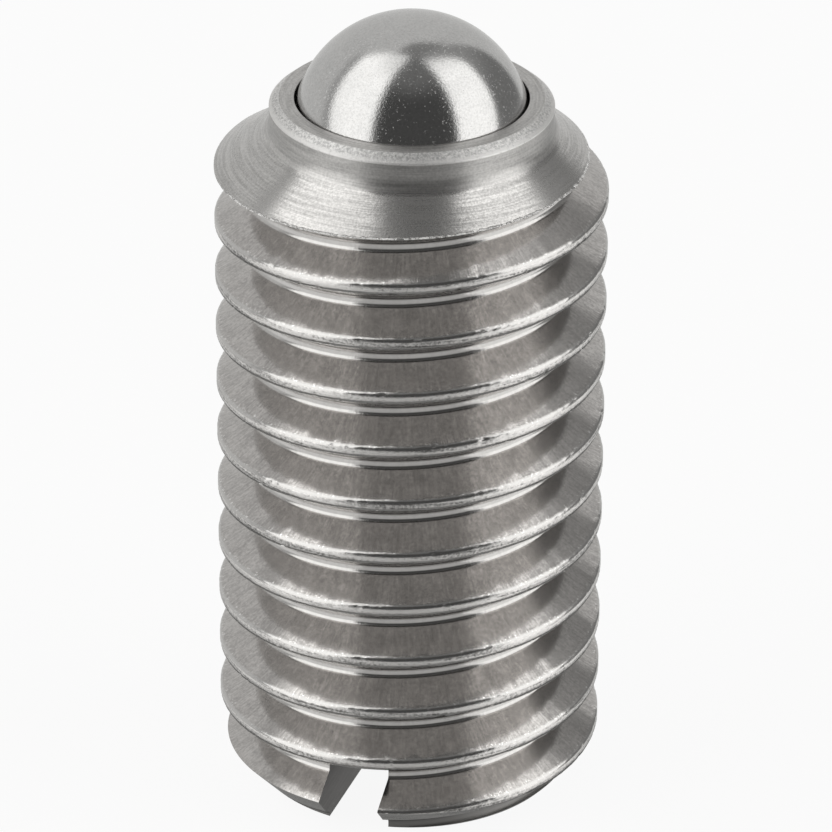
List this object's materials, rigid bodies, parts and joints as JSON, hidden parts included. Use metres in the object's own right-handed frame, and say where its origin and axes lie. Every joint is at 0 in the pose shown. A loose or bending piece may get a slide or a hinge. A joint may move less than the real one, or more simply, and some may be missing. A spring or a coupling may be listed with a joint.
{
  "type": "spring plunger",
  "caption": "Ball-nose spring plunger: a slotted sleeve threaded all along, with a rolled lip that holds a sprung ball. The ball presses in and springs back.",
  "frame": {"origin": "centre of the slotted end face, on the sleeve's axis", "axes": "+Z along the sleeve's axis from the slotted end to the ball; the driver slot lies along Y"},
  "size_m": [0.0098, 0.0098, 0.0209],
  "materials": {
    "sleeve_steel": "turned stainless steel, fine tool marks, satin",
    "spring_steel": "drawn stainless spring wire",
    "ball_steel": "hardened stainless steel, satin polished"
  },
  "bodies": {
    "sleeve": {"threaded_sleeve": "sleeve_steel", "spring": "spring_steel"},
    "ball": {"ball": "ball_steel"}
  },
  "joints": [
    {"name": "ball_press", "type": "slide", "parent": "sleeve", "child": "ball", "axis": [0, 0, -1], "range_m": [0, 0.002], "stiffness_N_per_m": 6200, "springref_m": -0.0026, "deforming": ["spring"]}
  ]
}
